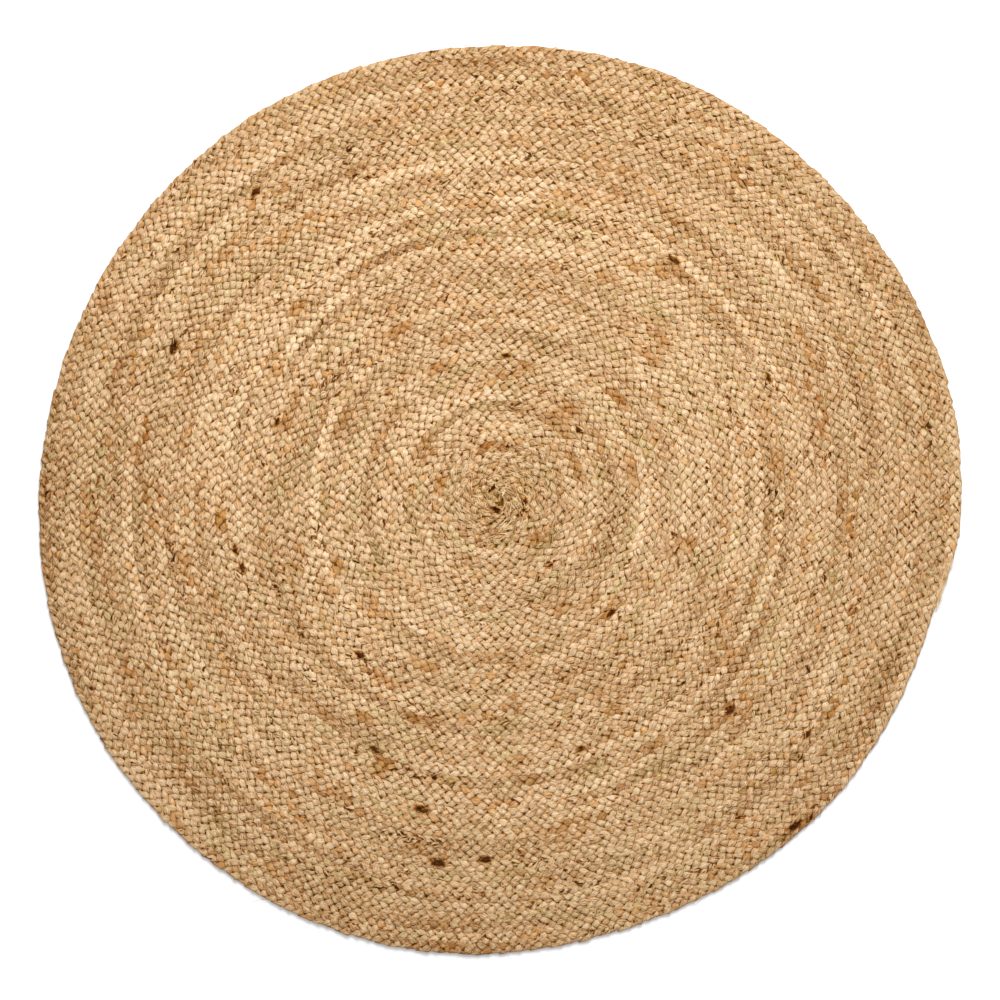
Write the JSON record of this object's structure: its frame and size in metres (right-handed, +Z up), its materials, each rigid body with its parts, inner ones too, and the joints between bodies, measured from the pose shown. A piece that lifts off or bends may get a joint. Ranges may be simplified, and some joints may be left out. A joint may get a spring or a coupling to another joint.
{
  "type": "round jute rug",
  "caption": "Round flat floor rug of plaited jute, coiled from the middle and sewn edge to edge, with a tapered tail at the rim.",
  "frame": {"origin": "middle of the outline's box, on the floor plane that the flat underside rests on", "axes": "+Z up from the floor through the rug; +X towards the side where the plait's tail ends, +Y a quarter turn anticlockwise from it seen from above"},
  "size_m": [1.211, 1.1936, 0.008],
  "materials": {
    "jute": "matt undyed jute, straw to tan with darker flecks"
  },
  "bodies": {
    "root": {"coiled_plait": "jute"}
  },
  "joints": []
}
